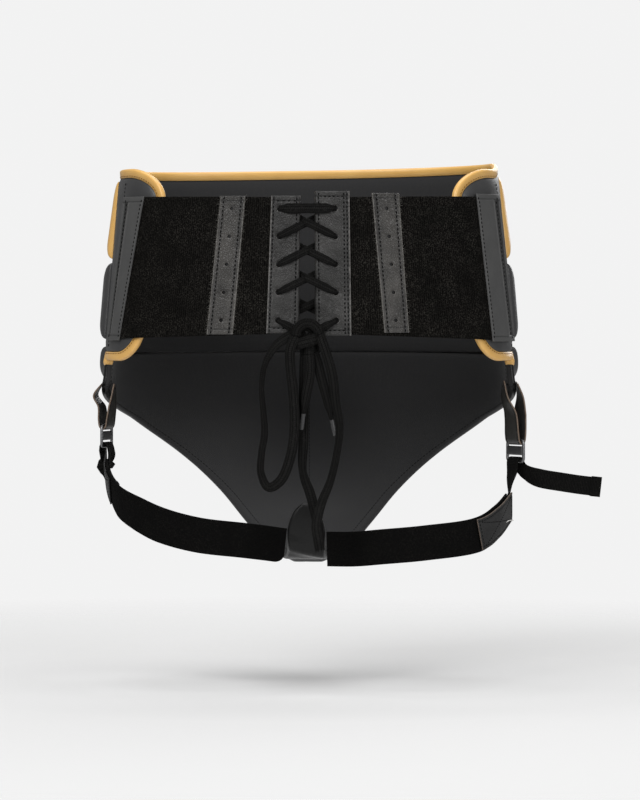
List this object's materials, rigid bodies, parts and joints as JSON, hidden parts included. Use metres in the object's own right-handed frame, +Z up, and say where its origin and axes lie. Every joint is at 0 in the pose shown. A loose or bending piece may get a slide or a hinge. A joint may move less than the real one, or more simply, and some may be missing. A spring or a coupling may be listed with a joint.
{
  "type": "groin guard",
  "caption": "Boxing groin guard: padded front shield with a cup and gold trim, wings round the hips, a laced elastic back belt and leg straps with sliders.",
  "frame": {"origin": "middle of the wearer's hips at the mid height of the back belt", "axes": "+Z up, +Y to the wearer's front, +X to the wearer's right"},
  "size_m": [0.4584, 0.2677, 0.3635],
  "materials": {
    "black_leather": "grained black leather, soft sheen",
    "gold_leather": "smooth gold leather, satin",
    "elastic": "ribbed matte black elastic",
    "lace": "flat braided black lace",
    "clear_tip": "clear grey plastic",
    "metal": "satin steel",
    "webbing": "woven black webbing"
  },
  "bodies": {
    "root": {"shield_band": "black_leather", "middle_pad": "black_leather", "groin_panel": "black_leather", "groin_pad": "black_leather", "eyelet_strip_left": "black_leather", "eyelet_strip_right": "black_leather", "end_strip_left": "black_leather", "end_strip_right": "black_leather", "lacing_panel_left": "black_leather", "lacing_panel_right": "black_leather", "side_tab_left": "black_leather", "side_tab_right": "black_leather", "strap_patch_left": "black_leather", "strap_patch_right": "black_leather", "edge_binding": "gold_leather", "upper_pad": "gold_leather", "back_elastic_left": "elastic", "back_elastic_right": "elastic", "leg_elastic_left": "elastic", "leg_elastic_right": "elastic", "lacing": "lace", "lace_knot": "lace", "bow_loop_left": "lace", "bow_loop_right": "lace", "lace_end_middle": "lace", "lace_end_right": "lace", "lace_tip_middle": "clear_tip", "lace_tip_right": "clear_tip", "slider_left": "metal", "slider_right": "metal", "webbing_left": "webbing", "webbing_right": "webbing"}
  },
  "joints": []
}
